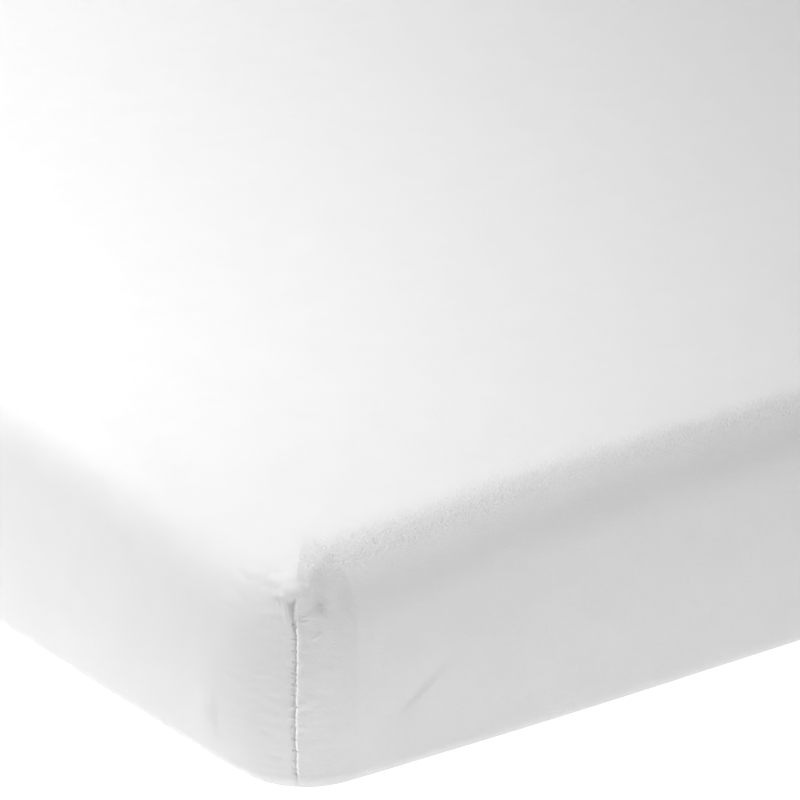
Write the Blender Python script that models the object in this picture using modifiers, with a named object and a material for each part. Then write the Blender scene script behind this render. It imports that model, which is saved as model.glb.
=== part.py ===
"""A white fitted jersey sheet on the cot mattress that it is cut for.

The sheet is one flat panel with a square notch at each corner. Every notch is sewn shut, which makes an
upright corner seam with a pucker at its top. The panel's hem lies flat under the mattress.
Metres, +Z up, the origin on the floor under the middle. X is the short side and Y the long one.
"""

from dataclasses import dataclass
import math

import bmesh
import bpy
from mathutils import Vector

MM = 0.001
QUARTER = math.pi / 2
EIGHTH = math.pi / 4

# The mattress with the sheet on it
WIDTH = 0.700
LENGTH = 1.400
HEIGHT = 0.110
CORNER_RADIUS = 36 * MM
TOP_EDGE_RADIUS = 32 * MM  # at the corners, easing to the tighter radius of the sides
SIDE_EDGE_RADIUS = 23 * MM
EDGE_EASE = 120 * MM
FOOT_RADIUS = 12 * MM

# The cloth
CLOTH = 1.2 * MM
HEM_THICKNESS = 2.4 * MM
HEM_WIDTH = 14 * MM
HEM_FOLD = 1.5 * MM
RETURN_WIDTH = 65 * MM
HEM_CORNER_RADIUS = 90 * MM
SEAM_START = 35.5 * MM
SEAM_DEPTH = 1.3 * MM
SEAM_HALF_WIDTH = 1.9 * MM
LIP_RISE = 0.7 * MM
LIP_OFFSET = 2.4 * MM
LIP_HALF_WIDTH = 1.7 * MM
SEAM_FADE = 4 * MM
SEWN_WITHIN = 0.01 * MM

# The mattress inside the cloth
GAP = 0.3 * MM
MATTRESS_CORNER_RADIUS = 45 * MM
MATTRESS_TOP_RADIUS = 36 * MM
MATTRESS_SIDE_RADIUS = 27 * MM
MATTRESS_FOOT_RADIUS = 16 * MM

# What the foam and the stretch do to the block's shape
CROWN = 2.5 * MM
CORNER_DROOP = 9 * MM
CORNER_DRAW = 2.5 * MM
CORNER_TUCK = 1.5 * MM
CORNER_REACH = 110 * MM
WAVE = 0.8 * MM
WAVE_SINES = ((9, 4, 0.0), (-5, 7, 1.3))  # radians per metre along X and Y, and the start

# Soft troughs and ridges beside a corner seam, in millimetres. across is to the right of the seam as seen
# from outside, down is the flat distance below the corner's centre, and lean turns the top to the right.
# name, across, down, half width, half length, lean in degrees, rise
CORNER_FOLDS = (
    ("slot", -1.4, 44, 2.4, 9, -4, -2.6),
    ("left lip", -5.6, 42, 2.3, 9, -12, 1.5),
    ("second fold", -10.0, 46, 2.4, 11, -18, 0.9),
    ("hood", -1.0, 28, 7.5, 5.5, 0, 1.6),
    ("gathered end", 4.6, 39, 3.6, 4.5, 0, 1.4),
    ("right hollow", 13.0, 43, 6.5, 10, 24, -1.7),
)

# Slack cloth of one corner each, which stands proud of the mattress but for a crease along its middle.
# side_x and side_y are the corner's signs, depth is the crease's, and the rest is as above.
# name, side_x, side_y, across, down, half width, half length, lean in degrees, depth
CREASES = (
    ("diagonal crease", -1, -1, 55, 102, 7, 16, 57, 1.5),
    ("upright crease", -1, -1, -41, 112, 7, 12, 4, 1.0),
    ("upright crease", 1, -1, 38, 92, 9, 20, -14, 1.1),
    ("diagonal crease", 1, 1, -50, 90, 12, 24, -40, 1.2),
    ("diagonal crease", -1, 1, 52, 94, 11, 26, 36, 1.1),
)
CREASE_SPREAD = 2.4
CREASE_PROUD = 0.9

# How strongly the corner at (side_x, side_y) puckers
CORNER_STRENGTH = {(-1, -1): 1.00, (1, -1): 0.80, (1, 1): 0.92, (-1, 1): 0.72}

# Lines of the panel's mesh, in millimetres outside the corner centres
CORNER_LINES = (0, 6, 13, 20, 26.5, 31, 33.7, 35.5)
TOP_ARC_LINES = (38.5, 42.5, 48)
SIDE_STEPS = 5
FOOT_STEPS = 3
RETURN_STEPS = 1
INNER_LINES = (-22, -50, -90)
CREASE_LINES = (-8, -15, -29, -36, -43)
MIDDLE_STEPS_X = 2
MIDDLE_STEPS_Y = 4
MATTRESS_CORNER_LINES = (0, 12, 24, 35.5)
MATTRESS_INNER_LINES = (-30, -80)
MATTRESS_TOP_STEPS = 4
MATTRESS_SIDE_STEPS = 2
MATTRESS_FOOT_STEPS = 2

JERSEY_WHITE = (0.88, 0.88, 0.88, 1.0)
JERSEY_ROUGHNESS = 0.85
COVER_WHITE = (0.80, 0.79, 0.77, 1.0)
COVER_ROUGHNESS = 0.9


@dataclass(frozen=True)
class Block:
    """A rounded block that a panel is wrapped over."""

    half_x: float
    half_y: float
    foot: float
    top: float
    corner_radius: float
    top_radius: float
    side_radius: float
    foot_radius: float

    @property
    def flat(self):
        """Flat strip of the top between a corner's centre and the start of the edge's curve."""
        return self.corner_radius - self.top_radius

    @property
    def side(self):
        """Height of the straight part of a side."""
        return self.top - self.foot - self.top_radius - self.foot_radius

    @property
    def side_start(self):
        """Flat distance from a corner's centre to the start of the straight side."""
        return self.flat + self.top_radius * QUARTER

    @property
    def foot_start(self):
        """Flat distance from a corner's centre to the start of the foot's curve."""
        return self.side_start + self.side

    @property
    def underside(self):
        """Flat distance from a corner's centre to the start of the underside."""
        return self.foot_start + self.foot_radius * QUARTER

    def centre(self, on_x_side):
        """The corner's centre, as how far out and how far along the side it is."""
        x = self.half_x - self.corner_radius
        y = self.half_y - self.corner_radius
        return (x, y) if on_x_side else (y, x)


SHEET_BLOCK = Block(
    WIDTH / 2,
    LENGTH / 2,
    0.0,
    HEIGHT,
    CORNER_RADIUS,
    TOP_EDGE_RADIUS,
    SIDE_EDGE_RADIUS,
    FOOT_RADIUS,
)
INSET = CLOTH + GAP
MATTRESS_BLOCK = Block(
    WIDTH / 2 - INSET,
    LENGTH / 2 - INSET,
    HEM_THICKNESS + GAP,
    HEIGHT - INSET,
    MATTRESS_CORNER_RADIUS,
    MATTRESS_TOP_RADIUS,
    MATTRESS_SIDE_RADIUS,
    MATTRESS_FOOT_RADIUS,
)
RETURN_FLAT = RETURN_WIDTH - FOOT_RADIUS


def smooth(share):
    """Smoothstep of a share that is held between 0 and 1."""
    share = min(max(share, 0.0), 1.0)
    return share * share * (3 - 2 * share)


def bell(distance, half_width):
    return math.exp(-((distance / half_width) ** 2))


def profile(block, down, from_corner):
    """Reach, height and tilt of the block's surface at a flat distance down from the corner's centre.

    The tilt turns the outward normal from up, 0, over sideways to down, half a turn. The top edge's
    radius eases from the corner's to the side's with the distance along the side from_corner.
    """
    ease = smooth(from_corner / EDGE_EASE)
    radius = block.top_radius + (block.side_radius - block.top_radius) * ease
    edge = block.corner_radius - radius
    if down <= 0:
        return down, block.top, 0.0
    if down <= block.flat:
        return edge * down / block.flat, block.top, 0.0
    if down <= block.side_start:
        tilt = (down - block.flat) / block.top_radius
        return edge + radius * math.sin(tilt), block.top - radius * (1 - math.cos(tilt)), tilt
    if down <= block.foot_start:
        height = block.top - radius - block.foot - block.foot_radius
        share = (down - block.side_start) / block.side
        return block.corner_radius, block.top - radius - height * share, QUARTER
    turn = min((down - block.foot_start) / block.foot_radius, QUARTER)
    reach = block.corner_radius - block.foot_radius * (1 - math.cos(turn))
    return reach, block.foot + block.foot_radius * (1 - math.sin(turn)), QUARTER + turn


def on_outline(centre, radius, along, seam_along):
    """Place on one side of a rounded outline, as outward, along and the angle round the corner.

    The side runs straight to its corner's centre and then round half the corner, up to the seam.
    """
    out, end = centre
    if along <= end:
        return out + radius, along, 0.0
    angle = EIGHTH * (along - end) / (seam_along - end)
    return out + radius * math.cos(angle), end + radius * math.sin(angle), angle


def from_fold(across, down, at_across, at_down, lean):
    """Distance off a fold's line and along it, from its middle, all in millimetres."""
    lean = math.radians(lean)
    right, up = across - at_across, at_down - down
    off_line = right * math.cos(lean) - up * math.sin(lean)
    on_line = right * math.sin(lean) + up * math.cos(lean)
    return off_line, on_line


def sheet_rise(across, down, side_x, side_y):
    """How far the folds lift the sheet off the block, in metres."""
    strength = CORNER_STRENGTH[side_x, side_y]
    lift_mm = 0.0
    for _, at_across, at_down, half_width, half_length, lean, rise in CORNER_FOLDS:
        off_line, on_line = from_fold(across / MM, down / MM, at_across, at_down, lean)
        lift_mm += strength * rise * bell(off_line, half_width) * bell(on_line, half_length)
    for _, crease_x, crease_y, at_across, at_down, half_width, half_length, lean, depth in CREASES:
        if (crease_x, crease_y) != (side_x, side_y):
            continue
        off_line, on_line = from_fold(across / MM, down / MM, at_across, at_down, lean)
        proud = CREASE_PROUD * bell(off_line, half_width * CREASE_SPREAD) - bell(off_line, half_width)
        lift_mm += depth * proud * bell(on_line, half_length)
    rise = lift_mm * MM
    sewn = smooth((down - SEAM_START) / SEAM_FADE)
    rise -= sewn * SEAM_DEPTH * bell(across, SEAM_HALF_WIDTH)
    rise += sewn * LIP_RISE * bell(across - LIP_OFFSET, LIP_HALF_WIDTH)
    return rise


def settle(point):
    """Crowns and waves the top, and lets the corners droop, draw in and tuck under."""
    share = smooth(point.z / HEIGHT)
    across, along = abs(point.x) / (WIDTH / 2), abs(point.y) / (LENGTH / 2)
    from_corner = math.hypot(WIDTH / 2 - abs(point.x), LENGTH / 2 - abs(point.y))
    near = bell(from_corner, CORNER_REACH)
    wave = math.prod(math.sin(x * point.x + y * point.y + start) for x, y, start in WAVE_SINES)
    crown = CROWN * (1 - across**2) * (1 - along**2)
    point.z += share * (crown + WAVE * wave - CORNER_DROOP * near)
    pull = near * (CORNER_DRAW + CORNER_TUCK * (1 - smooth(point.z / (HEIGHT / 2))))
    point.x -= math.copysign(pull, point.x)
    point.y -= math.copysign(pull, point.y)
    return point


def wrap(block, panel_point, rise=None):
    """The place that a point of the flat panel takes on the block, lifted by rise where that is given."""
    side_x, side_y = math.copysign(1, panel_point.x), math.copysign(1, panel_point.y)
    x, y = abs(panel_point.x), abs(panel_point.y)
    centre_x, centre_y = block.centre(True)
    on_x_side = x - centre_x >= y - centre_y
    centre = block.centre(on_x_side)
    down = max(x - centre_x, y - centre_y)
    along = y if on_x_side else x
    reach, z, tilt = profile(block, down, max(centre[1] - along, 0.0))
    seam_along = centre[1] + min(down, SEAM_START)
    out, side, angle = on_outline(centre, reach, along, seam_along)
    lift = 0.0
    if down > block.underside:
        hem_inset = RETURN_WIDTH + HEM_CORNER_RADIUS - block.corner_radius
        hem_centre = (centre[0] - hem_inset, centre[1] - hem_inset)
        hem_out, hem_side, _ = on_outline(hem_centre, HEM_CORNER_RADIUS, along, seam_along)
        share = (down - block.underside) / RETURN_FLAT
        out += (hem_out - out) * share
        side += (hem_side - side) * share
    elif rise:
        off_seam = (EIGHTH - angle) * max(reach, 0.0) + max(centre[1] - along, 0.0)
        turned = -side_x * side_y if on_x_side else side_x * side_y
        fading = 1 - smooth((down - block.foot_start) / (block.underside - block.foot_start))
        lift = fading * rise(turned * off_seam, down, side_x, side_y)
    out += lift * math.sin(tilt) * math.cos(angle)
    side += lift * math.sin(tilt) * math.sin(angle)
    x, y = (out, side) if on_x_side else (side, out)
    return settle(Vector((side_x * x, side_y * y, z + lift * math.cos(tilt))))


def even_lines(start, end, steps):
    return [start + (end - start) * step / steps for step in range(1, steps + 1)]


def half_lines(centre, corner_lines, outer_lines, inner_lines, middle_steps):
    """Lines of one half of the panel, as distances from the panel's middle, the middle line left out."""
    inner = [centre + line * MM for line in sorted(inner_lines)]
    middle = even_lines(0.0, inner[0], middle_steps)[:-1]
    corner = [centre + line * MM for line in corner_lines]
    return middle + inner + corner + [centre + line for line in outer_lines]


def full_lines(low_half, high_half):
    return [-line for line in reversed(low_half)] + [0.0] + high_half


def wrapped_panel(block, lines_x, lines_y, rise=None):
    """A grid on the given lines, notched at its corners, wrapped over the block and sewn shut."""
    panel = bmesh.new()
    steps_x, steps_y = len(lines_x) - 1, len(lines_y) - 1
    bmesh.ops.create_grid(panel, x_segments=steps_x, y_segments=steps_y, size=1.0)
    for vert in panel.verts:
        column = round((vert.co.x + 1) / 2 * steps_x)
        row = round((vert.co.y + 1) / 2 * steps_y)
        vert.co = Vector((lines_x[column], lines_y[row], 0.0))
    seam_x, seam_y = (line + SEAM_START for line in block.centre(True))
    notches = []
    for face in panel.faces:
        middle = face.calc_center_median()
        if abs(middle.x) > seam_x and abs(middle.y) > seam_y:
            notches.append(face)
    bmesh.ops.delete(panel, geom=notches, context="FACES")
    rim = [vert for vert in panel.verts if vert.is_boundary]
    for vert in panel.verts:
        vert.co = wrap(block, vert.co, rise)
    bmesh.ops.remove_doubles(panel, verts=rim, dist=SEWN_WITHIN)
    return panel


def add_object(name, panel, colour, roughness, collection):
    """A smooth-shaded object of its own material, made from the panel's mesh."""
    mesh = bpy.data.meshes.new(name)
    panel.to_mesh(mesh)
    panel.free()
    mesh.shade_smooth()
    material = bpy.data.materials.new(name)
    material.use_nodes = True
    shader = material.node_tree.nodes["Principled BSDF"]
    shader.inputs["Base Color"].default_value = colour
    shader.inputs["Roughness"].default_value = roughness
    mesh.materials.append(material)
    part = bpy.data.objects.new(name, mesh)
    collection.objects.link(part)
    return part


def add_sheet(collection):
    """The cloth: a wrapped panel that Solidify thickens inwards, double along the hem."""
    block = SHEET_BLOCK
    rim = block.underside + RETURN_FLAT
    outer = [line * MM for line in TOP_ARC_LINES] + [block.side_start]
    outer += even_lines(block.side_start, block.foot_start, SIDE_STEPS)
    outer += even_lines(block.foot_start, block.underside, FOOT_STEPS)
    outer += even_lines(block.underside, rim - HEM_WIDTH - HEM_FOLD, RETURN_STEPS)
    outer += [rim - HEM_WIDTH, rim]
    centre_x, centre_y = block.centre(True)
    creased = half_lines(centre_x, CORNER_LINES, outer, INNER_LINES + CREASE_LINES, MIDDLE_STEPS_X)
    plain_x = half_lines(centre_x, CORNER_LINES, outer, INNER_LINES, MIDDLE_STEPS_X)
    plain_y = half_lines(centre_y, CORNER_LINES, outer, INNER_LINES, MIDDLE_STEPS_Y)
    panel = wrapped_panel(block, full_lines(creased, plain_x), full_lines(plain_y, plain_y), sheet_rise)
    hem_rows = [vert.index for vert in hem_verts(panel)]
    sheet = add_object("sheet", panel, JERSEY_WHITE, JERSEY_ROUGHNESS, collection)
    hem = sheet.vertex_groups.new(name="hem")
    hem.add(hem_rows, 1.0, "REPLACE")
    shell = sheet.modifiers.new("cloth", "SOLIDIFY")
    shell.thickness = HEM_THICKNESS
    shell.offset = -1.0
    shell.use_even_offset = True
    shell.vertex_group = hem.name
    shell.thickness_vertex_group = CLOTH / HEM_THICKNESS


def hem_verts(panel):
    """The hem's two rows of vertices: the panel's rim and the row beside it."""
    panel.verts.index_update()
    rim = {vert for vert in panel.verts if vert.is_boundary}
    beside = {edge.other_vert(vert) for vert in rim for edge in vert.link_edges}
    return rim | beside


def add_mattress(collection):
    """The mattress: a panel wrapped down to the foot, closed with one flat face."""
    block = MATTRESS_BLOCK
    outer = even_lines(SEAM_START, block.side_start, MATTRESS_TOP_STEPS)
    outer += even_lines(block.side_start, block.foot_start, MATTRESS_SIDE_STEPS)
    outer += even_lines(block.foot_start, block.underside, MATTRESS_FOOT_STEPS)
    centre_x, centre_y = block.centre(True)
    half_x = half_lines(centre_x, MATTRESS_CORNER_LINES, outer, MATTRESS_INNER_LINES, MIDDLE_STEPS_X)
    half_y = half_lines(centre_y, MATTRESS_CORNER_LINES, outer, MATTRESS_INNER_LINES, MIDDLE_STEPS_Y)
    panel = wrapped_panel(block, full_lines(half_x, half_x), full_lines(half_y, half_y))
    foot = [edge for edge in panel.edges if edge.is_boundary]
    bmesh.ops.holes_fill(panel, edges=foot)
    add_object("mattress", panel, COVER_WHITE, COVER_ROUGHNESS, collection)


def main():
    for old in list(bpy.data.objects):
        bpy.data.objects.remove(old)
    collection = bpy.data.collections.new("fitted_sheet_on_mattress")
    bpy.context.scene.collection.children.link(collection)
    add_mattress(collection)
    add_sheet(collection)


main()
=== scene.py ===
"""A white jersey fitted sheet on its cot mattress, on a pale studio floor.

The cloth is one flat panel, cut with a square notch at each corner, wrapped over the mattress and sewn
shut along the notches. Metres, +Z up, X the short side and Y the long one.
"""

import math

import bmesh
import bpy
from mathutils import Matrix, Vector, noise


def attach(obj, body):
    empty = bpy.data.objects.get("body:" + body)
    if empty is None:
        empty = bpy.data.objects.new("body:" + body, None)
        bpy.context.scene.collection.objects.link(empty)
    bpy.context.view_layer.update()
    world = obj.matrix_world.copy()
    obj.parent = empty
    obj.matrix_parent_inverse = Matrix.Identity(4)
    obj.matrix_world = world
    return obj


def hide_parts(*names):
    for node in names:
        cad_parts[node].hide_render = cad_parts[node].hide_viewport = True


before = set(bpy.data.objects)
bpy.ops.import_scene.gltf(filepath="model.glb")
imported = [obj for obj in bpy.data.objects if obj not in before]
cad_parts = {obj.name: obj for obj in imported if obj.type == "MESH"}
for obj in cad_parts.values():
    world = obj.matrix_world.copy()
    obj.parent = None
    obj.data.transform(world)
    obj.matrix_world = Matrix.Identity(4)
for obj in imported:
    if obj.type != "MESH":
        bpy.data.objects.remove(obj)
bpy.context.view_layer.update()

MM = 0.001
TURN = 2 * math.pi
QUARTER = math.pi / 2
EIGHTH = math.pi / 4

# The block that the cloth is wrapped over, and the mattress in it
WIDTH = 0.700
LENGTH = 1.400
HEIGHT = 0.110
CORNER_RADIUS = 36 * MM
TOP_RADIUS = 34 * MM
SIDE_RADIUS = 27 * MM
FOOT_RADIUS = 8 * MM
EDGE_EASE = 120 * MM
EDGE_POWER = 2.4
TOP_CORNER_POWER = 3.2
SIDE_CORNER_POWER = 2.2
BULGE = 1.2 * MM
BULGE_REACH = 30 * MM
INSET = 1.5 * MM
MATTRESS_FOOT = 2.7 * MM
MATTRESS_CORNER_RADIUS = 45 * MM
MATTRESS_TOP_RADIUS = 39 * MM
MATTRESS_SIDE_RADIUS = 31 * MM
MATTRESS_FOOT_RADIUS = 12 * MM

# What the foam and the stretch do to the block
CROWN = 2.5 * MM
CORNER_DROOP = 9 * MM
CORNER_DRAW = 2.5 * MM
CORNER_TUCK = 1.5 * MM
CORNER_REACH = 110 * MM
WAVE = 0.8 * MM
WAVE_SINES = ((9, 4, 0.0), (-5, 7, 1.3))  # radians per metre along X and Y, and the start

# The cloth's return under the mattress, and its turned hem
RETURN_WIDTH = 65 * MM
HEM_WIDTH = 14 * MM
HEM_TURN = 0.8 * MM
HEM_CORNER_RADIUS = 90 * MM

# The corner seam: the stitched line, which the left cloth dips to, and the rolled lip on its right
SEAM_START = 35.5 * MM
SEAM_TOP = 42 * MM
SEAM_FADE = 6 * MM
SEAM_TWIST = 0.04
SEAM_OFFSET = -0.15 * MM
SEAM_BOW = 0.6 * MM
SEAM_BOW_DOWN = 57 * MM
SEAM_BOW_REACH = 16 * MM
SEAM_WOBBLE = 0.12 * MM
SEAM_WOBBLE_REACH = 1.9 * MM
SEAM_REACH = 8 * MM
VALLEY_DEPTH = 0.15 * MM
VALLEY_HALF_WIDTH = 2.0 * MM
LINE_DEPTH = 0.7 * MM
LINE_LEFT = 0.5 * MM
LINE_RIGHT = 0.35 * MM
LIP_RISE = 0.85 * MM
LIP_OFFSET = 0.95 * MM
LIP_LEFT = 0.45 * MM
LIP_RIGHT = 1.0 * MM
LIP_DENT = 0.5
STITCH = 2.9 * MM
STITCH_HALF_LENGTH = 0.6 * MM
DRAW = 0.3 * MM
NOTCH_DEPTH = 0.9 * MM
NOTCH_OFFSET = 1.1 * MM
NOTCH_HALF_WIDTH = 0.9 * MM

# How the stitches differ: sizes are shares of the pitch or of a full pull, a SWAY is radians per stitch, and
# SWAY_START is radians at each corner
PITCH_SHIFT = 0.16
PITCH_SHIFT_SWAY = 2.1
PITCH_JITTER = 0.10
PITCH_JITTER_SWAY = 5.3
PULL_MEAN = 0.6
PULL_EVERY_OTHER = 0.3
PULL_SHIFT = 0.25
PULL_SHIFT_SWAY = 2.3
SWAY_START_X = 1.7
SWAY_START_Y = 0.9

# The overlocked edge's roll, and the bars of thread over the stitched line
THREAD_RADIUS = 0.16 * MM
ROLL_OFFSET = 0.75 * MM
ROLL_DRAW = 0.5 * MM
ROLL_PROUD = 0.3 * MM
ROLL_STEP = 0.55 * MM
ROLL_FULLNESS = 2.6  # in thread radii, as ROLL_LEAST is
ROLL_LEAST = 0.3
ROLL_DENT = 0.7
ROLL_SINK = 1.2
BAR_SUNK = 0.1
# across the stitched line to the right, down the seam, proud at a full pull, all in millimetres
BAR_KNOTS = ((-1.2, -0.1, 0.1), (-0.2, 0.0, 0.25), (1.0, 0.2, 0.15))

# Soft troughs and ridges beside a corner seam, in millimetres. across is to the right of the seam as seen
# from outside, down is the flat distance below the corner's centre, and lean turns the top to the right.
# name, across, down, half width to the left, to the right, half length, lean in degrees, rise
CORNER_FOLDS = (
    ("slot", -0.7, 40.5, 2.6, 0.5, 4.8, 1, -1.9),
    ("slot top", 0.3, 35.6, 1.3, 0.5, 1.5, 30, -0.9),
    ("slot foot", -0.2, 47.5, 1.2, 0.5, 4.5, -7, -0.9),
    ("slot edge", -3.5, 40.0, 1.1, 0.4, 5.0, -5, 2.0),
    ("slot edge foot", -1.5, 48.0, 0.7, 0.5, 4.5, -14, 0.9),
    ("second fold", -6.2, 40.5, 0.7, 0.5, 4.2, -12, 0.9),
    ("third fold", -4.8, 54.0, 0.7, 0.5, 3.0, -10, 0.5),
    ("hood", 0.6, 34.6, 9.0, 2.0, 6.6, 88, 3.4),
    ("gathered end", 3.2, 37.2, 1.7, 4.5, 3.0, 90, 1.7),
    ("end edge", 0.7, 38.8, 0.5, 1.2, 3.0, 4, 1.3),
    ("hip", 6.0, 26.5, 9.5, 4.0, 6.5, -10, 2.0),
    ("crest", 4.8, 31.5, 0.9, 1.4, 2.8, -16, 1.0),
    ("right hollow", 10.8, 37.0, 2.6, 3.8, 5.5, -32, -2.5),
    ("upper tuck", 3.2, 43.3, 0.5, 0.4, 2.2, 84, 0.8),
    ("lower tuck", 3.4, 45.0, 0.5, 0.4, 1.9, 88, 0.7),
    ("drag line", 9.3, 51.9, 0.45, 0.8, 3.0, 51, 0.7),
    ("drag crease", 62.0, 93.0, 6.0, 1.8, 14.0, 51, -1.3),
    ("left dimple", -15.0, 54.0, 3.0, 3.0, 6.0, 30, -0.5),
    ("left shoulder", -58.0, 18.0, 24.0, 15.0, 55.0, 90, -1.7),
    ("left shelf", -70.0, 66.0, 22.0, 13.0, 70.0, 90, 1.8),
    ("left ridge", -40.8, 107.0, 7.0, 1.0, 11.0, 0, 1.6),
    ("left roll", -42.0, 100.0, 14.0, 20.0, 30.0, 0, 1.8),
    ("corner fall", -2.0, 106.0, 28.0, 26.0, 38.0, 0, -3.0),
    ("right roll", 2.0, 90.0, 1.6, 5.5, 40.0, 0, 0.8),
)
FOLD_END = 3.5  # half widths from a fold's middle

# Slack cloth of one corner each, proud of the mattress but for a crease along its middle.
# name, side_x, side_y, across, down, half width, half length, lean in degrees, depth
CREASES = (
    ("upright crease", -1, -1, -41, 112, 7, 12, 4, 1.0),
    ("upright crease", 1, -1, 38, 92, 9, 20, -14, 1.1),
    ("diagonal crease", 1, 1, -50, 90, 12, 24, -40, 1.2),
    ("diagonal crease", -1, 1, 52, 94, 11, 26, 36, 1.1),
)
CREASE_SPREAD = 2.4
CREASE_PROUD = 0.9

# How strongly the folds show at each corner, which is named by its side_x and side_y
CORNER_STRENGTH = {(-1, -1): 1.00, (1, -1): 0.80, (1, 1): 0.92, (-1, 1): 0.72}

# The cloth's slow slackness and the crumples beside the seams: their heights, noise per metre and reach.
# CRUMPLE_APART keeps the corners' crumples from being the same
SLACK = 0.2 * MM
SLACK_PER_METRE = 38
CRUMPLE = 0.55 * MM
CRUMPLE_ACROSS = 115
CRUMPLE_DOWN = 290
CRUMPLE_LEFT = 40 * MM
CRUMPLE_RIGHT = 16 * MM
CRUMPLE_LEAST = 0.02
CRUMPLE_APART_X = 9
CRUMPLE_APART_Y = 17

# Lines of the panel's mesh, in millimetres outside the corner centres
CORNER_LINES = (0, 3.5, 7, 10.5, 14, 17.5, 21, 24.5, 28, 31, 33.5, 35.5)
INNER_LINES = (-100, -88, -76, -64, -53, -43, -34, -26, -19, -13, -8, -4)
LINE_STEP = 3 * MM
MIDDLE_STEP = 13 * MM
RETURN_STEPS = 4
HEM_STEPS = 3
TURN_STEPS = 4
MATTRESS_STEP = 6 * MM
WELD = 0.01 * MM  # points of two notch sides this close are joined

# Zones of finer mesh beside the seams, in millimetres past the corner's centre. cuts, corners, and each
# zone's least and most on the lesser axis, and on the greater one
ALL_CORNERS = tuple(CORNER_STRENGTH)
NEAR_CORNER = ((-1, -1),)
FINER_ZONES = (
    (1, ALL_CORNERS, ((14, 36, 26, 60), (31, 36, 24, 134))),
    (1, ALL_CORNERS, ((33.5, 36, 34, 134),)),
    (2, NEAR_CORNER, ((-14, 36, 20, 126),)),
    (1, NEAR_CORNER, ((26, 36, 28, 60),)),
    (5, NEAR_CORNER, ((-66, -14, 66, 126),)),
)

# The jersey: knit, fuzz, slow unevenness, and the grain over the short ends' top edges.
# A SCALE is noise per metre, a BUMP a height, and a pair is the least and the most of a value
KNIT_PITCH = 0.85 * MM
COURSE_PITCH = 0.65 * MM
LEG_SHARE = 0.35
RIB_SHARE = 0.5
KNIT_BUMP = 0.16 * MM
# Painted shade: the knit's hollows are coloured darker and its crests lighter by this share of the knit's
# height
KNIT_VALLEY_SHADE = 0.012
FUZZ_SCALE = 1400
FUZZ_SHARE = 0.9
FUZZ_TONE = 0.02
SLOW_SCALE = 55
SLOW_BUMP = 0.35 * MM
GRAIN_SCALE = 1050
GRAIN_BUMP = 1.0 * MM
GRAIN_DOWN = 20 * MM
GRAIN_REACH = 11 * MM
JERSEY_TONE = (0.775, 0.805)
JERSEY_ROUGHNESS = (0.66, 0.80)
JERSEY_SHEEN = 0.10
JERSEY_SHEEN_ROUGHNESS = 0.5
JERSEY_SPECULAR = 0.4

# The mattress's cotton cover, the thread and the floor
WEAVE_PITCH = 0.9 * MM
WEAVE_BUMP = 0.12 * MM
WEAVE_TONE = 0.02
SLUB_SCALE = 300
SLUB_SHARE = 0.8
COVER_TONE = (0.70, 0.78)
COVER_ROUGHNESS = (0.8, 0.95)
TWIST_SCALE = 4000
TWIST_BUMP = 0.05 * MM
# The thread's own white, set lighter than the jersey: partly its real colour, partly a painted highlight
# along the seams' rolled lip
THREAD_TONE_AND_LIP_HIGHLIGHT = (0.88, 0.96)
THREAD_ROUGHNESS = (0.5, 0.7)
MOTTLE_SCALE = 3
FINE_DETAIL = 3.0
FLOOR_TONE = (0.955, 0.965)
FLOOR_ROUGHNESS = 0.9
FLOOR_SPECULAR = 0.1
FLOOR_REACH = 30.0
FLOOR_DROP = 0.5 * MM
GLOW = 0.592
GLOW_FADE = 0.25
GLOW_INSET = 20 * MM

# name, place, aim, width and height, power in watts
LIGHTS = (
    ("key", (0.0, 0.4, 0.9), (0.0, -0.2, 0.05), (0.5, 0.5), 4.75),
    ("low key", (-0.4, 0.4, 0.5), (0.0, -0.2, 0.05), (0.5, 0.5), 1.97),
    ("left", (-0.6, -0.3, 0.8), (0.0, -0.2, 0.05), (0.5, 0.5), 5.34),
    ("corner", (-0.5, -0.6, 0.5), (0.0, -0.2, 0.05), (0.4, 0.4), 0.86),
    ("front", (-0.1, -1.578, 0.599), (-0.1, -0.4, 0.05), (0.6, 0.6), 3.73),
    ("front left", (-0.792, -1.353, 0.599), (-0.1, -0.4, 0.05), (0.6, 0.6), 1.29),
    ("right fill", (2.83, -0.4, 0.67), (-0.1, -0.4, 0.05), (1.2, 1.2), 27.9),
    ("rear fill", (-0.1, 2.53, 0.67), (-0.1, -0.4, 0.05), (1.2, 1.2), 14.0),
)
WORLD = 0.052
WHITE = (1.0, 1.0, 1.0, 1.0)

CAMERA_YAW = -35.76
CAMERA_PITCH = 22.42
CAMERA_AT = (-1.3652, -2.1904, 0.9252)
CAMERA_LENS = 225.2
CAMERA_SENSOR = 36.0


class Block:
    """A rounded block that a panel is wrapped over."""

    def __init__(self, inset, foot, corner_radius, top_radius, side_radius, foot_radius):
        self.half_x = WIDTH / 2 - inset
        self.half_y = LENGTH / 2 - inset
        self.foot = foot
        self.top = HEIGHT - inset
        self.corner_radius = corner_radius
        self.top_radius = top_radius
        self.side_radius = side_radius
        self.foot_radius = foot_radius
        self.side = self.top - foot - top_radius - foot_radius
        self.side_start = corner_radius - top_radius + top_radius * QUARTER
        self.foot_start = self.side_start + self.side
        self.underside = self.foot_start + foot_radius * QUARTER

    def centre(self, on_x_side):
        """The corner's centre, as how far out and how far along the side it is."""
        x = self.half_x - self.corner_radius
        y = self.half_y - self.corner_radius
        return (x, y) if on_x_side else (y, x)


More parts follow.
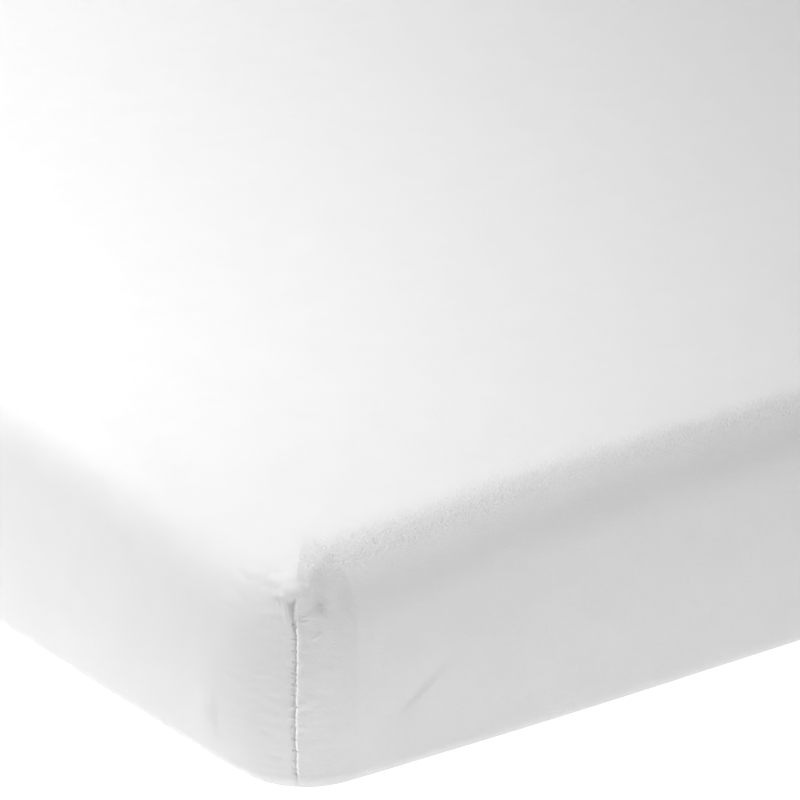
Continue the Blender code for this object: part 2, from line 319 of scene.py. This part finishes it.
SHEET_BLOCK = Block(0.0, 0.0, CORNER_RADIUS, TOP_RADIUS, SIDE_RADIUS, FOOT_RADIUS)
MATTRESS_BLOCK = Block(
    INSET,
    MATTRESS_FOOT,
    MATTRESS_CORNER_RADIUS,
    MATTRESS_TOP_RADIUS,
    MATTRESS_SIDE_RADIUS,
    MATTRESS_FOOT_RADIUS,
)
RETURN_FLAT = RETURN_WIDTH - FOOT_RADIUS
RIM = SHEET_BLOCK.underside + RETURN_FLAT


def smooth(share):
    """Smoothstep of a share that is held between 0 and 1."""
    share = min(max(share, 0.0), 1.0)
    return share * share * (3 - 2 * share)


def bell(distance, half_width):
    """A soft hump of height 1."""
    return math.exp(-((distance / half_width) ** 2))


def uneven_bell(distance, left_width, right_width):
    return bell(distance, left_width if distance < 0 else right_width)


def squared_arc(share, power):
    """Place on a quarter turn of a superellipse of radius 1, across and along, and the normal's tilt."""
    rising, falling = share ** (power / 2), (1 - share) ** (power / 2)
    angle = QUARTER * rising / (rising + falling)
    across, along = max(math.sin(angle), 0.0) ** (2 / power), max(math.cos(angle), 0.0) ** (2 / power)
    return across, along, math.atan2(across ** (power - 1), along ** (power - 1))


def profile(block, down, from_corner):
    """Reach, height and tilt of the block's surface at a flat distance down from the corner's centre."""
    ease = smooth(from_corner / EDGE_EASE)
    radius = block.top_radius + (block.side_radius - block.top_radius) * ease
    edge = block.corner_radius - radius
    bulge = BULGE * bell(down - (block.side_start + block.foot_start) / 2, BULGE_REACH)
    if down <= 0:
        return down, block.top, 0.0
    if down <= block.side_start:
        run = down * (edge + radius * QUARTER) / block.side_start
        if run <= edge:
            return run, block.top, 0.0
        across, along, tilt = squared_arc((run - edge) / (radius * QUARTER), EDGE_POWER)
        return edge + radius * across + bulge, block.top - radius * (1 - along), tilt
    if down <= block.foot_start:
        height = block.top - radius - block.foot - block.foot_radius
        share = (down - block.side_start) / block.side
        return block.corner_radius + bulge, block.top - radius - height * share, QUARTER
    turn = min((down - block.foot_start) / block.foot_radius, QUARTER)
    reach = block.corner_radius - block.foot_radius * (1 - math.cos(turn)) + bulge
    return reach, block.foot + block.foot_radius * (1 - math.sin(turn)), QUARTER + turn


def on_outline(centre, radius, turned, along, power):
    """Place on one side of a rounded outline, as outward, along and the normal's angle. turned is the
    share of the corner's quarter turn that lies before the place."""
    out, end = centre
    if turned <= 0:
        return out + radius, along, 0.0
    side, outward, angle = squared_arc(turned, power)
    return out + radius * outward, end + radius * side, angle


def from_fold(across, down, at_across, at_down, lean):
    """Distance off a fold's line and along it, from its middle, all in millimetres."""
    lean = math.radians(lean)
    right, up = across - at_across, at_down - down
    off_line = right * math.cos(lean) - up * math.sin(lean)
    on_line = right * math.sin(lean) + up * math.cos(lean)
    return off_line, on_line


def stitches(side_x, side_y):
    """Flat distances down of a seam's stitches, uneven in pitch, and how hard each one pulls."""
    start = SWAY_START_X * side_x + SWAY_START_Y * side_y
    last = int((SHEET_BLOCK.foot_start - SEAM_START) / STITCH) + 2
    places = []
    for count in range(2, last):
        shift = PITCH_SHIFT * math.sin(PITCH_SHIFT_SWAY * count + start)
        shift += PITCH_JITTER * math.sin(PITCH_JITTER_SWAY * count)
        pull = PULL_MEAN + PULL_EVERY_OTHER * (-1) ** count
        pull += PULL_SHIFT * math.sin(PULL_SHIFT_SWAY * count + start)
        places.append((SEAM_START + STITCH * (count + shift), pull))
    return places


STITCHES = {corner: stitches(*corner) for corner in ALL_CORNERS}


def stitch_pull(down, side_x, side_y):
    """How hard a seam's stitches pull at a flat distance down it."""
    pull = 0.0
    for place, strength in STITCHES[side_x, side_y]:
        if abs(down - place) < 3 * STITCH_HALF_LENGTH:
            pull = max(pull, strength * bell(down - place, STITCH_HALF_LENGTH))
    return pull


def seam_line(down, side_x):
    """How far to the right of the panel's notch the stitched line wanders."""
    wobble = SEAM_WOBBLE * math.sin(down / SEAM_WOBBLE_REACH + side_x)
    return SEAM_OFFSET + SEAM_BOW * math.cos((down - SEAM_BOW_DOWN) / SEAM_BOW_REACH) + wobble


def seam_rise(across, down, side_x, side_y):
    """The stitched line of the corner seam and its lip, notched and drawn aside where stitches pull."""
    sewn = smooth((down - SEAM_TOP) / SEAM_FADE)
    if not sewn or abs(across) > SEAM_REACH:
        return 0.0
    pull = stitch_pull(down, side_x, side_y)
    off_line = across - seam_line(down, side_x) - DRAW * pull
    rise = -VALLEY_DEPTH * bell(off_line, VALLEY_HALF_WIDTH)
    rise -= LINE_DEPTH * uneven_bell(off_line, LINE_LEFT, LINE_RIGHT)
    rise += LIP_RISE * (1 - LIP_DENT * pull) * uneven_bell(off_line - LIP_OFFSET, LIP_LEFT, LIP_RIGHT)
    rise -= NOTCH_DEPTH * pull * bell(off_line + NOTCH_OFFSET, NOTCH_HALF_WIDTH)
    return sewn * rise


def sheet_rise(across, down, side_x, side_y):
    """How far the folds lift the sheet off the block, in metres."""
    strength = CORNER_STRENGTH[side_x, side_y]
    lift_mm = 0.0
    for _, at_across, at_down, left_width, right_width, half_length, lean, rise in CORNER_FOLDS:
        off_line, on_line = from_fold(across / MM, down / MM, at_across, at_down, lean)
        near = max(abs(off_line) / max(left_width, right_width), abs(on_line) / half_length)
        if near < FOLD_END:
            lift = uneven_bell(off_line, left_width, right_width) * bell(on_line, half_length)
            lift_mm += strength * rise * lift
    for _, crease_x, crease_y, at_across, at_down, half_width, half_length, lean, depth in CREASES:
        if (crease_x, crease_y) != (side_x, side_y):
            continue
        off_line, on_line = from_fold(across / MM, down / MM, at_across, at_down, lean)
        proud = CREASE_PROUD * bell(off_line, half_width * CREASE_SPREAD) - bell(off_line, half_width)
        lift_mm += depth * proud * bell(on_line, half_length)
    near = uneven_bell(across, CRUMPLE_LEFT, CRUMPLE_RIGHT) * smooth(down / SEAM_START)
    if near > CRUMPLE_LEAST:
        apart = CRUMPLE_APART_X * side_x + CRUMPLE_APART_Y * side_y
        place = Vector((across * CRUMPLE_ACROSS, down * CRUMPLE_DOWN, apart))
        lift_mm += strength * near * CRUMPLE / MM * noise.noise(place)
    return lift_mm * MM + seam_rise(across, down, side_x, side_y)


def settle(point):
    """Crowns and waves the top, and lets the corners droop, draw in and tuck under."""
    share = smooth(point.z / HEIGHT)
    across, along = abs(point.x) / (WIDTH / 2), abs(point.y) / (LENGTH / 2)
    from_corner = math.hypot(WIDTH / 2 - abs(point.x), LENGTH / 2 - abs(point.y))
    near = bell(from_corner, CORNER_REACH)
    wave = math.prod(math.sin(x * point.x + y * point.y + start) for x, y, start in WAVE_SINES)
    crown = CROWN * (1 - across**2) * (1 - along**2)
    point.z += share * (crown + WAVE * wave - CORNER_DROOP * near)
    pull = near * (CORNER_DRAW + CORNER_TUCK * (1 - smooth(point.z / (HEIGHT / 2))))
    point.x -= math.copysign(pull, point.x)
    point.y -= math.copysign(pull, point.y)
    return point


def turned_hem(down):
    """Flat distance and height of cloth past the rim, which turns up and runs back on itself."""
    past = down - RIM
    if past <= 0:
        return down, 0.0
    turn = past / HEM_TURN
    if turn < math.pi:
        return RIM + HEM_TURN * math.sin(turn), HEM_TURN * (1 - math.cos(turn))
    return RIM - (past - math.pi * HEM_TURN), 2 * HEM_TURN


def wrap(block, panel_point, rise=None, proud=0.0):
    """The place that a point of the flat panel takes on the block, lifted by rise where that is given."""
    side_x, side_y = math.copysign(1, panel_point.x), math.copysign(1, panel_point.y)
    x, y = abs(panel_point.x), abs(panel_point.y)
    centre_x, centre_y = block.centre(True)
    on_x_side = x - centre_x >= y - centre_y
    centre = block.centre(on_x_side)
    down, hem_height = turned_hem(max(x - centre_x, y - centre_y))
    along = y if on_x_side else x
    reach, z, tilt = profile(block, down, max(centre[1] - along, 0.0))
    rightward = -side_x * side_y if on_x_side else side_x * side_y
    to_seam = (along - centre[1]) / min(down, SEAM_START) if along > centre[1] else 0.0
    turned = to_seam * (0.5 - SEAM_TWIST * rightward)
    power = TOP_CORNER_POWER + (SIDE_CORNER_POWER - TOP_CORNER_POWER) * smooth(down / block.side_start)
    out, side, angle = on_outline(centre, reach, turned, along, power)
    lift = 0.0
    if down > block.underside:
        hem_inset = RETURN_WIDTH + HEM_CORNER_RADIUS - block.corner_radius
        hem_centre = (centre[0] - hem_inset, centre[1] - hem_inset)
        to_hem_seam = (along - hem_centre[1]) / (hem_inset + SEAM_START)
        hem_turned = to_hem_seam * (0.5 - SEAM_TWIST * rightward)
        hem_out, hem_side, _ = on_outline(hem_centre, HEM_CORNER_RADIUS, hem_turned, along, 2.0)
        share = (down - block.underside) / RETURN_FLAT
        out += (hem_out - out) * share
        side += (hem_side - side) * share
        z += hem_height
    elif rise:
        off_seam = EIGHTH * (1 - to_seam) * max(reach, 0.0) + max(centre[1] - along, 0.0)
        fading = 1 - smooth((down - block.foot_start) / (block.underside - block.foot_start))
        x, y = (out, side) if on_x_side else (side, out)
        slack = SLACK * noise.noise(Vector((side_x * x, side_y * y, z)) * SLACK_PER_METRE)
        lift = fading * (rise(rightward * off_seam, down, side_x, side_y) + slack) + proud
    out += lift * math.sin(tilt) * math.cos(angle)
    side += lift * math.sin(tilt) * math.sin(angle)
    x, y = (out, side) if on_x_side else (side, out)
    return settle(Vector((side_x * x, side_y * y, z + lift * math.cos(tilt))))


def even_lines(start, end, step):
    steps = max(round((end - start) / step), 1)
    return [start + (end - start) * count / steps for count in range(1, steps + 1)]


def half_lines(centre, outer_lines, middle_step):
    """Lines of one half of the panel, as distances from the panel's middle, the middle line left out."""
    inner = [centre + line * MM for line in INNER_LINES]
    middle = even_lines(0.0, inner[0], middle_step)[:-1]
    corner = [centre + line * MM for line in CORNER_LINES]
    return middle + inner + corner + [centre + line for line in outer_lines]


def cut_panel(block, outer_lines, middle_step):
    """A flat grid with a square notch at each corner."""
    centre_x, centre_y = block.centre(True)
    half_x = half_lines(centre_x, outer_lines, middle_step)
    half_y = half_lines(centre_y, outer_lines, middle_step)
    lines_x = [-line for line in reversed(half_x)] + [0.0] + half_x
    lines_y = [-line for line in reversed(half_y)] + [0.0] + half_y
    panel = bmesh.new()
    steps_x, steps_y = len(lines_x) - 1, len(lines_y) - 1
    bmesh.ops.create_grid(panel, x_segments=steps_x, y_segments=steps_y, size=1.0)
    for vert in panel.verts:
        column = round((vert.co.x + 1) / 2 * steps_x)
        row = round((vert.co.y + 1) / 2 * steps_y)
        vert.co = Vector((lines_x[column], lines_y[row], 0.0))
    notches = []
    for face in panel.faces:
        middle = face.calc_center_median()
        if abs(middle.x) > centre_x + SEAM_START and abs(middle.y) > centre_y + SEAM_START:
            notches.append(face)
    bmesh.ops.delete(panel, geom=notches, context="FACES")
    return panel


def refine(panel, block, zones, cuts, corners):
    """Cuts the faces in the given zones beside the given corners' seams. A zone is the least and the most
    flat distance past the corner's centre on the lesser axis, and then on the greater one."""
    centre_x, centre_y = block.centre(True)
    edges = set()
    for face in panel.faces:
        middle = face.calc_center_median()
        x, y = abs(middle.x) - centre_x, abs(middle.y) - centre_y
        lesser, greater = min(x, y) / MM, max(x, y) / MM
        if (math.copysign(1, middle.x), math.copysign(1, middle.y)) not in corners:
            continue
        if any(low < lesser < high and near < greater < far for low, high, near, far in zones):
            edges.update(face.edges)
    bmesh.ops.subdivide_edges(panel, edges=list(edges), cuts=cuts, use_grid_fill=True)


def sew(panel, block, rise=None):
    """Wraps the flat panel over the block and joins the notches' sides. The flat cut is kept as its UVs."""
    cut = panel.loops.layers.uv.new("cut")
    for face in panel.faces:
        for loop in face.loops:
            loop[cut].uv = loop.vert.co.xy
    rim = [vert for vert in panel.verts if vert.is_boundary]
    for vert in panel.verts:
        vert.co = wrap(block, vert.co, rise)
    bmesh.ops.remove_doubles(panel, verts=rim, dist=WELD)


def add_piece(name, panel, material):
    mesh = bpy.data.meshes.new(name)
    panel.to_mesh(mesh)
    panel.free()
    mesh.shade_smooth()
    mesh.materials.append(material)
    piece = bpy.data.objects.new(name, mesh)
    bpy.context.scene.collection.objects.link(piece)
    return piece


# Materials
class Nodes:
    """A short way to add and link shader nodes."""

    def __init__(self, name):
        self.material = bpy.data.materials.new(name)
        self.material.use_nodes = True
        self.tree = self.material.node_tree
        self.shader = self.tree.nodes["Principled BSDF"]

    def add(self, kind, **settings):
        node = self.tree.nodes.new("ShaderNode" + kind)
        for key, value in settings.items():
            setattr(node, key, value)
        return node

    def put(self, source, socket):
        if isinstance(source, bpy.types.NodeSocket):
            self.tree.links.new(source, socket)
        else:
            socket.default_value = source

    def math(self, operation, *values):
        node = self.add("Math", operation=operation)
        for value, socket in zip(values, node.inputs):
            self.put(value, socket)
        return node.outputs[0]

    def vector(self, operation, *values):
        node = self.add("VectorMath", operation=operation)
        for value, socket in zip(values, node.inputs):
            self.put(value, socket)
        return node.outputs["Value" if operation == "LENGTH" else "Vector"]

    def noise(self, place, scale, detail=2.0):
        node = self.add("TexNoise")
        self.put(place, node.inputs["Vector"])
        node.inputs["Scale"].default_value = scale
        node.inputs["Detail"].default_value = detail
        return node.outputs["Fac"]

    def between(self, share, pair):
        """A number from the pair's first to its second, as share goes from 0 to 1."""
        low, high = pair
        return self.math("MULTIPLY_ADD", share, high - low, low)

    def grey(self, value):
        node = self.add("CombineColor")
        for socket in node.inputs[:3]:
            self.put(value, socket)
        return node.outputs[0]

    def bump(self, height, distance, normal=None):
        node = self.add("Bump")
        self.put(height, node.inputs["Height"])
        node.inputs["Distance"].default_value = distance
        if normal:
            self.put(normal, node.inputs["Normal"])
        return node.outputs["Normal"]


def cut_place(nodes, layer):
    split = nodes.add("SeparateXYZ")
    nodes.put(nodes.add("UVMap", uv_map=layer).outputs[0], split.inputs[0])
    return split.outputs[0], split.outputs[1]


def jersey():
    """Fine white single jersey: slanted stitch legs in wales, a little fuzz and slow unevenness, and a
    coarser grain over the top edges of the short ends."""
    nodes = Nodes("jersey")
    place = nodes.add("TexCoord").outputs["Object"]
    across, along = cut_place(nodes, "cut")
    wale = nodes.math("PINGPONG", nodes.math("DIVIDE", across, KNIT_PITCH), 0.5)
    wale_turn = nodes.math("MULTIPLY", wale, TURN)
    leg = nodes.math("SINE", nodes.math("MULTIPLY_ADD", along, TURN / COURSE_PITCH, wale_turn))
    rib = nodes.math("SINE", wale_turn)
    knit = nodes.math("MULTIPLY_ADD", leg, LEG_SHARE, nodes.math("MULTIPLY", rib, RIB_SHARE))
    fuzz = nodes.noise(place, FUZZ_SCALE, FINE_DETAIL)
    slow = nodes.noise(place, SLOW_SCALE, FINE_DETAIL)
    knitted = nodes.math("MULTIPLY_ADD", fuzz, FUZZ_SHARE, knit)
    past_x = nodes.math("SUBTRACT", nodes.math("ABSOLUTE", across), WIDTH / 2 - CORNER_RADIUS)
    past_y = nodes.math("SUBTRACT", nodes.math("ABSOLUTE", along), LENGTH / 2 - CORNER_RADIUS)
    off_edge = nodes.math("MULTIPLY_ADD", past_y, 1 / GRAIN_REACH, -GRAIN_DOWN / GRAIN_REACH)
    off_edge_squared = nodes.math("MULTIPLY", off_edge, off_edge)
    on_edge = nodes.math("EXPONENT", nodes.math("MULTIPLY", off_edge_squared, -1.0))
    on_end = nodes.math("MULTIPLY", on_edge, nodes.math("GREATER_THAN", past_y, past_x))
    grain = nodes.math("MULTIPLY", nodes.noise(place, GRAIN_SCALE), on_end)
    uneven = nodes.bump(grain, GRAIN_BUMP, nodes.bump(slow, SLOW_BUMP))
    nodes.put(nodes.bump(knitted, KNIT_BUMP, uneven), nodes.shader.inputs["Normal"])
    # Painted shade: the tone follows the knit's height, darker in its hollows and lighter on its crests
    tone = nodes.math("MULTIPLY_ADD", knit, KNIT_VALLEY_SHADE, nodes.between(slow, JERSEY_TONE))
    tone = nodes.math("MULTIPLY_ADD", fuzz, FUZZ_TONE, tone)
    nodes.put(nodes.grey(tone), nodes.shader.inputs["Base Color"])
    nodes.put(nodes.between(fuzz, JERSEY_ROUGHNESS), nodes.shader.inputs["Roughness"])
    nodes.shader.inputs["Sheen Weight"].default_value = JERSEY_SHEEN
    nodes.shader.inputs["Sheen Roughness"].default_value = JERSEY_SHEEN_ROUGHNESS
    nodes.shader.inputs["Specular IOR Level"].default_value = JERSEY_SPECULAR
    return nodes.material


def cover():
    """The mattress's plain woven cotton cover."""
    nodes = Nodes("cotton_cover")
    place = nodes.add("TexCoord").outputs["Object"]
    across, along = cut_place(nodes, "cut")
    warp = nodes.math("SINE", nodes.math("MULTIPLY", across, TURN / WEAVE_PITCH))
    weft = nodes.math("SINE", nodes.math("MULTIPLY", along, TURN / WEAVE_PITCH))
    weave = nodes.math("MULTIPLY", warp, weft)
    slub = nodes.noise(place, SLUB_SCALE, FINE_DETAIL)
    height = nodes.math("MULTIPLY_ADD", slub, SLUB_SHARE, weave)
    nodes.put(nodes.bump(height, WEAVE_BUMP), nodes.shader.inputs["Normal"])
    tone = nodes.math("MULTIPLY_ADD", weave, WEAVE_TONE, nodes.between(slub, COVER_TONE))
    nodes.put(nodes.grey(tone), nodes.shader.inputs["Base Color"])
    nodes.put(nodes.between(slub, COVER_ROUGHNESS), nodes.shader.inputs["Roughness"])
    return nodes.material


def thread():
    """White polyester sewing thread with its twist, set lighter than the jersey so that the rolled lip it
    draws is also a painted highlight.
    """
    nodes = Nodes("thread")
    place = nodes.add("TexCoord").outputs["Object"]
    twist = nodes.noise(place, TWIST_SCALE, 1.0)
    nodes.put(nodes.bump(twist, TWIST_BUMP), nodes.shader.inputs["Normal"])
    nodes.put(nodes.grey(nodes.between(twist, THREAD_TONE_AND_LIP_HIGHLIGHT)), nodes.shader.inputs["Base Color"])
    nodes.put(nodes.between(twist, THREAD_ROUGHNESS), nodes.shader.inputs["Roughness"])
    return nodes.material


def pale_floor():
    """Matt white studio floor, which glows a little round the mattress's foot like a lit table."""
    nodes = Nodes("floor")
    place = nodes.add("TexCoord").outputs["Object"]
    mottle = nodes.noise(place, MOTTLE_SCALE)
    nodes.put(nodes.grey(nodes.between(mottle, FLOOR_TONE)), nodes.shader.inputs["Base Color"])
    nodes.shader.inputs["Roughness"].default_value = FLOOR_ROUGHNESS
    nodes.shader.inputs["Specular IOR Level"].default_value = FLOOR_SPECULAR
    covered = (WIDTH / 2 - GLOW_INSET, LENGTH / 2 - GLOW_INSET, 0)
    beyond = nodes.vector("SUBTRACT", nodes.vector("ABSOLUTE", place), covered)
    away = nodes.vector("LENGTH", nodes.vector("MAXIMUM", beyond, (0, 0, 0)))
    fading = nodes.math("EXPONENT", nodes.math("MULTIPLY", away, -1 / GLOW_FADE))
    nodes.shader.inputs["Emission Color"].default_value = WHITE
    nodes.put(nodes.math("MULTIPLY", fading, GLOW), nodes.shader.inputs["Emission Strength"])
    return nodes.material


# Pieces
def sheet_lines():
    """The sheet's lines past the seam's start: the side, the foot, the return and the turned hem."""
    block = SHEET_BLOCK
    back = RIM + math.pi * HEM_TURN
    lines = even_lines(SEAM_START, block.foot_start, LINE_STEP)
    lines += even_lines(block.foot_start, block.underside, LINE_STEP)
    lines += even_lines(block.underside, RIM - HEM_WIDTH, (RETURN_FLAT - HEM_WIDTH) / RETURN_STEPS)
    lines += even_lines(RIM - HEM_WIDTH, RIM, HEM_WIDTH / HEM_STEPS)
    lines += even_lines(RIM, back, (back - RIM) / TURN_STEPS)
    lines += even_lines(back, back + HEM_WIDTH, HEM_WIDTH / HEM_STEPS)
    return lines


def add_sheet():
    """The cloth, with its mesh finer beside the corner seams."""
    panel = cut_panel(SHEET_BLOCK, sheet_lines(), MIDDLE_STEP)
    for cuts, corners, zones in FINER_ZONES:
        refine(panel, SHEET_BLOCK, zones, cuts, corners)
    sew(panel, SHEET_BLOCK, sheet_rise)
    return add_piece("jersey_sheet", panel, jersey())


def add_mattress():
    """The mattress in its cover: the same panel without folds, closed underneath."""
    block = MATTRESS_BLOCK
    lines = even_lines(SEAM_START, block.foot_start, MATTRESS_STEP)
    lines += even_lines(block.foot_start, block.underside, MATTRESS_STEP)
    panel = cut_panel(block, lines, 2 * MIDDLE_STEP)
    sew(panel, block)
    foot = [edge for edge in panel.edges if edge.is_boundary]
    bmesh.ops.holes_fill(panel, edges=foot)
    cut = panel.loops.layers.uv["cut"]
    for face in panel.faces:
        if len(face.verts) > 4:
            for loop in face.loops:
                loop[cut].uv = loop.vert.co.xy
    return add_piece("mattress_cover", panel, cover())


def beside_seam(side_x, side_y, across, down):
    """The flat panel's point that lies across to the right of a seam, seen from outside, at down."""
    centre_x, centre_y = SHEET_BLOCK.centre(True)
    reach = profile(SHEET_BLOCK, down, 0.0)[0]
    on_x_side = across * side_x * side_y < 0
    end = centre_y if on_x_side else centre_x
    along = end + SEAM_START * (1 - abs(across) / (reach * EIGHTH))
    out = (centre_x if on_x_side else centre_y) + down
    x, y = (out, along) if on_x_side else (along, out)
    return Vector((side_x * x, side_y * y, 0.0))


def overlocked_roll(curve, side_x, side_y):
    """The overlocked edge that rolls out on the right of a corner seam, dented by the stitches."""
    # Drawn in the light thread, the roll's brightness is partly a painted highlight of the lip beside the
    # seam
    roll = curve.splines.new("BEZIER")
    downs = even_lines(SEAM_TOP, SHEET_BLOCK.foot_start, ROLL_STEP)
    roll.bezier_points.add(len(downs) - 1)
    for knot, down in zip(roll.bezier_points, downs):
        pull = stitch_pull(down, side_x, side_y)
        line = seam_line(down, side_x) + ROLL_OFFSET + ROLL_DRAW * pull
        at = beside_seam(side_x, side_y, line, down)
        knot.co = wrap(SHEET_BLOCK, at, sheet_rise, ROLL_PROUD * (1 - ROLL_SINK * pull))
        knot.handle_left_type = knot.handle_right_type = "AUTO"
        begun = smooth((down - downs[0]) / SEAM_FADE)
        knot.radius = ROLL_FULLNESS * (1 - ROLL_DENT * pull) * begun + ROLL_LEAST


def add_thread():
    """The overlocked edges of the corner seams, and the stitches: short bars over the stitched line."""
    curve = bpy.data.curves.new("seam_thread", "CURVE")
    curve.dimensions = "3D"
    curve.bevel_depth = THREAD_RADIUS
    curve.bevel_resolution = 1
    curve.resolution_u = 3
    for (side_x, side_y), places in STITCHES.items():
        overlocked_roll(curve, side_x, side_y)
        for place, pull in places:
            bar = curve.splines.new("BEZIER")
            bar.bezier_points.add(len(BAR_KNOTS) - 1)
            line = seam_line(place, side_x)
            for knot, (across, shift, proud) in zip(bar.bezier_points, BAR_KNOTS):
                at = beside_seam(side_x, side_y, line + across * MM, place + shift * MM)
                knot.co = wrap(SHEET_BLOCK, at, sheet_rise, (proud * pull - BAR_SUNK) * MM)
                knot.handle_left_type = knot.handle_right_type = "AUTO"
    piece = bpy.data.objects.new("seam_thread", curve)
    curve.materials.append(thread())
    bpy.context.scene.collection.objects.link(piece)
    return piece


sheet = add_sheet()
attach(sheet, "root")
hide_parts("sheet")

stitching = add_thread()
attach(stitching, "root")

mattress = add_mattress()
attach(mattress, "root")
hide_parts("mattress")


# Studio
def add_floor():
    mesh = bpy.data.meshes.new("floor")
    corners = [(-1, -1), (1, -1), (1, 1), (-1, 1)]
    mesh.from_pydata([(x * FLOOR_REACH, y * FLOOR_REACH, 0) for x, y in corners], [], [(0, 1, 2, 3)])
    mesh.materials.append(pale_floor())
    floor = bpy.data.objects.new("floor", mesh)
    floor.location.z = -FLOOR_DROP
    bpy.context.scene.collection.objects.link(floor)


def add_light(name, place, aim, size, power):
    light = bpy.data.lights.new(name, "AREA")
    light.shape = "RECTANGLE"
    light.size, light.size_y = size
    light.energy = power
    lamp = bpy.data.objects.new(name, light)
    lamp.location = place
    lamp.rotation_euler = (Vector(place) - Vector(aim)).to_track_quat("Z", "Y").to_euler()
    lamp.visible_camera = False
    bpy.context.scene.collection.objects.link(lamp)


def add_studio():
    add_floor()
    for row in LIGHTS:
        add_light(*row)
    world = bpy.data.worlds.new("studio")
    world.use_nodes = True
    world.node_tree.nodes["Background"].inputs["Color"].default_value = WHITE
    world.node_tree.nodes["Background"].inputs["Strength"].default_value = WORLD
    bpy.context.scene.world = world
    bpy.context.scene.view_settings.view_transform = "Standard"


def add_camera():
    yaw, pitch = math.radians(CAMERA_YAW), math.radians(CAMERA_PITCH)
    back = Vector((math.sin(yaw) * math.cos(pitch), -math.cos(yaw) * math.cos(pitch), math.sin(pitch)))
    data = bpy.data.cameras.new("camera")
    data.lens = CAMERA_LENS
    data.sensor_width = CAMERA_SENSOR
    camera = bpy.data.objects.new("camera", data)
    camera.location = CAMERA_AT
    camera.rotation_euler = back.to_track_quat("Z", "Y").to_euler()
    bpy.context.scene.collection.objects.link(camera)
    bpy.context.scene.camera = camera


add_studio()
add_camera()
